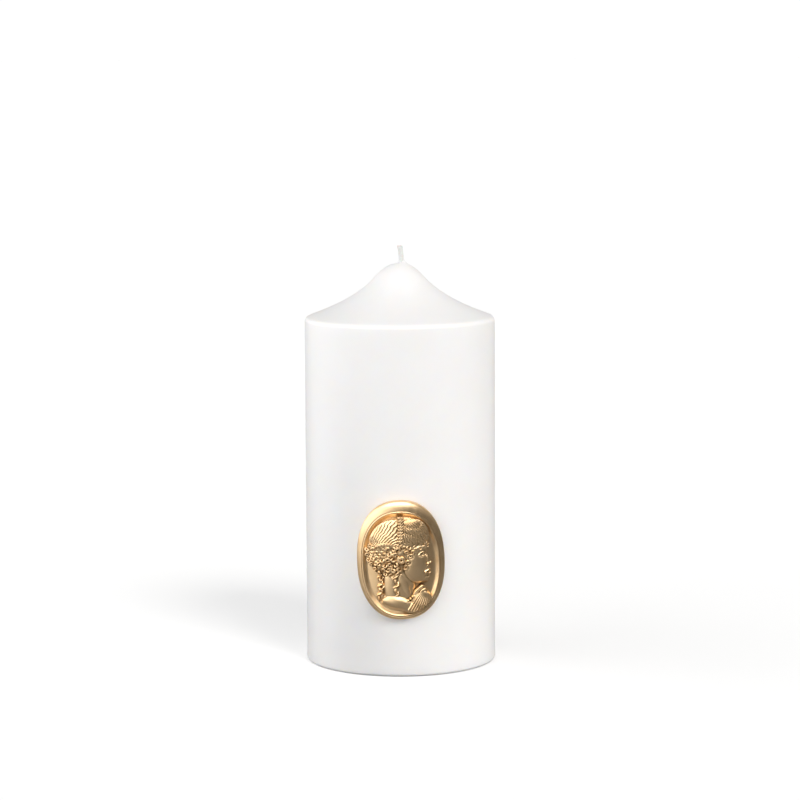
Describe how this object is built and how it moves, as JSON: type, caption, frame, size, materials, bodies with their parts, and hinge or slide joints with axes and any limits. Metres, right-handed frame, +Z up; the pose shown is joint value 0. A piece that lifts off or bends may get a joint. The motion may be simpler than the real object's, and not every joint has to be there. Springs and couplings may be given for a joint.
{
  "type": "unity candle",
  "caption": "White pillar candle with a flared, pointed top, a cotton wick, and a gold oval cameo of a classical head in profile that pins into the wax.",
  "frame": {"origin": "centre of the candle's flat base, which stands on the table", "axes": "+Z up the candle's axis to the wick, -Y out of the side that carries the cameo, +X to the right as seen facing the cameo"},
  "size_m": [0.07, 0.0763, 0.1536],
  "materials": {
    "coat_wax": "satin",
    "core_wax": "matte",
    "cotton": "matte",
    "tinplate": "satin",
    "gold": "satin",
    "pin_steel": "gloss"
  },
  "bodies": {
    "candle": {"wax_core": "core_wax", "overdip_coat": "coat_wax", "base_seal": "core_wax", "wick_sustainer": "tinplate", "wick": "cotton"},
    "cameo": {"cameo_frame": "gold", "cameo_bezel": "gold", "cameo_ground": "gold", "cameo_bust": "gold", "cameo_back_plate": "gold", "upper_pin": "pin_steel", "lower_pin": "pin_steel"}
  },
  "joints": [
    {"name": "cameo_pull", "type": "slide", "parent": "candle", "child": "cameo", "axis": [0, -1, 0], "range_m": [0, 0.02]}
  ]
}
